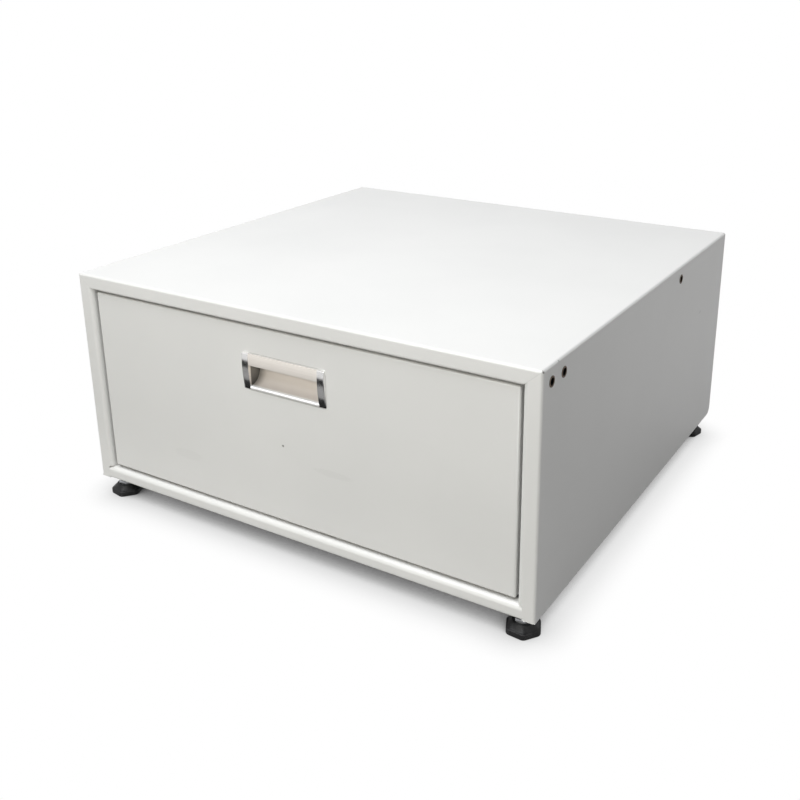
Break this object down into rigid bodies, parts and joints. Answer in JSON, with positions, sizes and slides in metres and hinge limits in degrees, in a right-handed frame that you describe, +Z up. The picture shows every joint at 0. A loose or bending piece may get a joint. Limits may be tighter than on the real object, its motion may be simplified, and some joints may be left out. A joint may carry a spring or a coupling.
{
  "type": "washer pedestal drawer",
  "caption": "Sheet-steel laundry pedestal with a full-width drawer on ball-bearing slides, a recessed pull and levelling feet.",
  "frame": {"origin": "bottom centre of the whole object at rest, on the floor", "axes": "+Z up, -Y the front towards which the drawer opens, +X the right side as seen from the front"},
  "size_m": [0.601, 0.574, 0.289],
  "materials": {
    "white_enamel_case": "smooth semi-gloss white powder coat on sheet steel",
    "white_enamel_front": "smooth semi-gloss white powder coat on the drawer front",
    "white_enamel_tub": "white powder coat inside the drawer",
    "galvanised_sheet": "galvanised sheet with faint spangle",
    "bright_zinc": "bright zinc plating",
    "yellow_zinc": "yellow zinc plating",
    "slide_steel": "cold-rolled zinc-plated steel",
    "cage_steel": "pressed thin steel",
    "ball_steel": "polished bearing balls",
    "handle_satin": "satin metal, slightly warm",
    "handle_chrome": "bright chrome plating",
    "black_foot_plastic": "black moulded plastic"
  },
  "bodies": {
    "case": {"case_top": "white_enamel_case", "case_side_left": "white_enamel_case", "case_side_right": "white_enamel_case", "frame_top_rail": "white_enamel_case", "frame_stile_left": "white_enamel_case", "frame_stile_right": "white_enamel_case", "sill_left": "galvanised_sheet", "sill_right": "galvanised_sheet", "front_bottom_rail": "white_enamel_case", "rear_bottom_rail": "white_enamel_case", "back_panel": "galvanised_sheet", "top_stiffener_front": "galvanised_sheet", "top_stiffener_middle": "galvanised_sheet", "top_stiffener_rear": "galvanised_sheet", "foot_plate_front_left": "galvanised_sheet", "foot_plate_front_right": "galvanised_sheet", "foot_plate_rear_left": "galvanised_sheet", "foot_plate_rear_right": "galvanised_sheet", "foot_weld_nuts": "bright_zinc", "foot_lock_nuts": "bright_zinc", "side_thread_inserts": "yellow_zinc", "slide_bracket_left": "galvanised_sheet", "slide_bracket_right": "galvanised_sheet", "slide_outer_left": "slide_steel", "slide_outer_right": "slide_steel", "slide_rivets": "bright_zinc"},
    "drawer": {"drawer_front_skin": "white_enamel_front", "drawer_front_liner": "galvanised_sheet", "drawer_tub": "white_enamel_tub", "drawer_back": "white_enamel_tub", "handle_body": "handle_satin", "handle_cap_left": "handle_chrome", "handle_cap_right": "handle_chrome", "handle_screws": "bright_zinc", "slide_inner_left": "slide_steel", "slide_inner_right": "slide_steel", "drawer_slide_screws": "bright_zinc", "drawer_front_screws": "bright_zinc", "drawer_back_rivets": "bright_zinc"},
    "slide_middle_left": {"slide_middle_left": "slide_steel"},
    "outer_cage_left": {"outer_cage_left": "cage_steel", "outer_balls_left": "ball_steel"},
    "inner_cage_left": {"inner_cage_left": "cage_steel", "inner_balls_left": "ball_steel"},
    "slide_middle_right": {"slide_middle_right": "slide_steel"},
    "outer_cage_right": {"outer_cage_right": "cage_steel", "outer_balls_right": "ball_steel"},
    "inner_cage_right": {"inner_cage_right": "cage_steel", "inner_balls_right": "ball_steel"},
    "foot_pad_front_left": {"foot_pad_front_left": "black_foot_plastic"},
    "foot_stud_front_left": {"foot_stud_front_left": "bright_zinc"},
    "foot_pad_front_right": {"foot_pad_front_right": "black_foot_plastic"},
    "foot_stud_front_right": {"foot_stud_front_right": "bright_zinc"},
    "foot_pad_rear_left": {"foot_pad_rear_left": "black_foot_plastic"},
    "foot_stud_rear_left": {"foot_stud_rear_left": "bright_zinc"},
    "foot_pad_rear_right": {"foot_pad_rear_right": "black_foot_plastic"},
    "foot_stud_rear_right": {"foot_stud_rear_right": "bright_zinc"}
  },
  "joints": [
    {"name": "drawer_slide", "type": "slide", "parent": "case", "child": "drawer", "axis": [0, -1, 0], "range_m": [0, 0.48]},
    {"name": "slide_middle_left_slide", "type": "slide", "parent": "case", "child": "slide_middle_left", "axis": [0, -1, 0], "range_m": [0, 0.24]},
    {"name": "outer_cage_left_slide", "type": "slide", "parent": "case", "child": "outer_cage_left", "axis": [0, -1, 0], "range_m": [0, 0.12]},
    {"name": "inner_cage_left_slide", "type": "slide", "parent": "case", "child": "inner_cage_left", "axis": [0, -1, 0], "range_m": [0, 0.36]},
    {"name": "slide_middle_right_slide", "type": "slide", "parent": "case", "child": "slide_middle_right", "axis": [0, -1, 0], "range_m": [0, 0.24]},
    {"name": "outer_cage_right_slide", "type": "slide", "parent": "case", "child": "outer_cage_right", "axis": [0, -1, 0], "range_m": [0, 0.12]},
    {"name": "inner_cage_right_slide", "type": "slide", "parent": "case", "child": "inner_cage_right", "axis": [0, -1, 0], "range_m": [0, 0.36]},
    {"name": "foot_front_left_height", "type": "slide", "parent": "case", "child": "foot_pad_front_left", "axis": [0, 0, -1], "range_m": [-0.003, 0.006]},
    {"name": "foot_front_left_turn", "type": "hinge", "parent": "foot_pad_front_left", "child": "foot_stud_front_left", "pos_m": [-0.279, -0.2675, 0], "axis": [0, 0, -1], "range_deg": [-720, 1440]},
    {"name": "foot_front_right_height", "type": "slide", "parent": "case", "child": "foot_pad_front_right", "axis": [0, 0, -1], "range_m": [-0.003, 0.006]},
    {"name": "foot_front_right_turn", "type": "hinge", "parent": "foot_pad_front_right", "child": "foot_stud_front_right", "pos_m": [0.279, -0.2675, 0], "axis": [0, 0, -1], "range_deg": [-720, 1440]},
    {"name": "foot_rear_left_height", "type": "slide", "parent": "case", "child": "foot_pad_rear_left", "axis": [0, 0, -1], "range_m": [-0.003, 0.006]},
    {"name": "foot_rear_left_turn", "type": "hinge", "parent": "foot_pad_rear_left", "child": "foot_stud_rear_left", "pos_m": [-0.279, 0.26, 0], "axis": [0, 0, -1], "range_deg": [-720, 1440]},
    {"name": "foot_rear_right_height", "type": "slide", "parent": "case", "child": "foot_pad_rear_right", "axis": [0, 0, -1], "range_m": [-0.003, 0.006]},
    {"name": "foot_rear_right_turn", "type": "hinge", "parent": "foot_pad_rear_right", "child": "foot_stud_rear_right", "pos_m": [0.279, 0.26, 0], "axis": [0, 0, -1], "range_deg": [-720, 1440]}
  ],
  "couplings": [
    {"joint": "slide_middle_left_slide", "follows": "drawer_slide", "ratio": 0.5},
    {"joint": "outer_cage_left_slide", "follows": "drawer_slide", "ratio": 0.25},
    {"joint": "inner_cage_left_slide", "follows": "drawer_slide", "ratio": 0.75},
    {"joint": "slide_middle_right_slide", "follows": "drawer_slide", "ratio": 0.5},
    {"joint": "outer_cage_right_slide", "follows": "drawer_slide", "ratio": 0.25},
    {"joint": "inner_cage_right_slide", "follows": "drawer_slide", "ratio": 0.75},
    {"joint": "foot_front_left_turn", "follows": "foot_front_left_height", "rad_per_m": 4188.8},
    {"joint": "foot_front_right_turn", "follows": "foot_front_right_height", "rad_per_m": 4188.8},
    {"joint": "foot_rear_left_turn", "follows": "foot_rear_left_height", "rad_per_m": 4188.8},
    {"joint": "foot_rear_right_turn", "follows": "foot_rear_right_height", "rad_per_m": 4188.8}
  ]
}
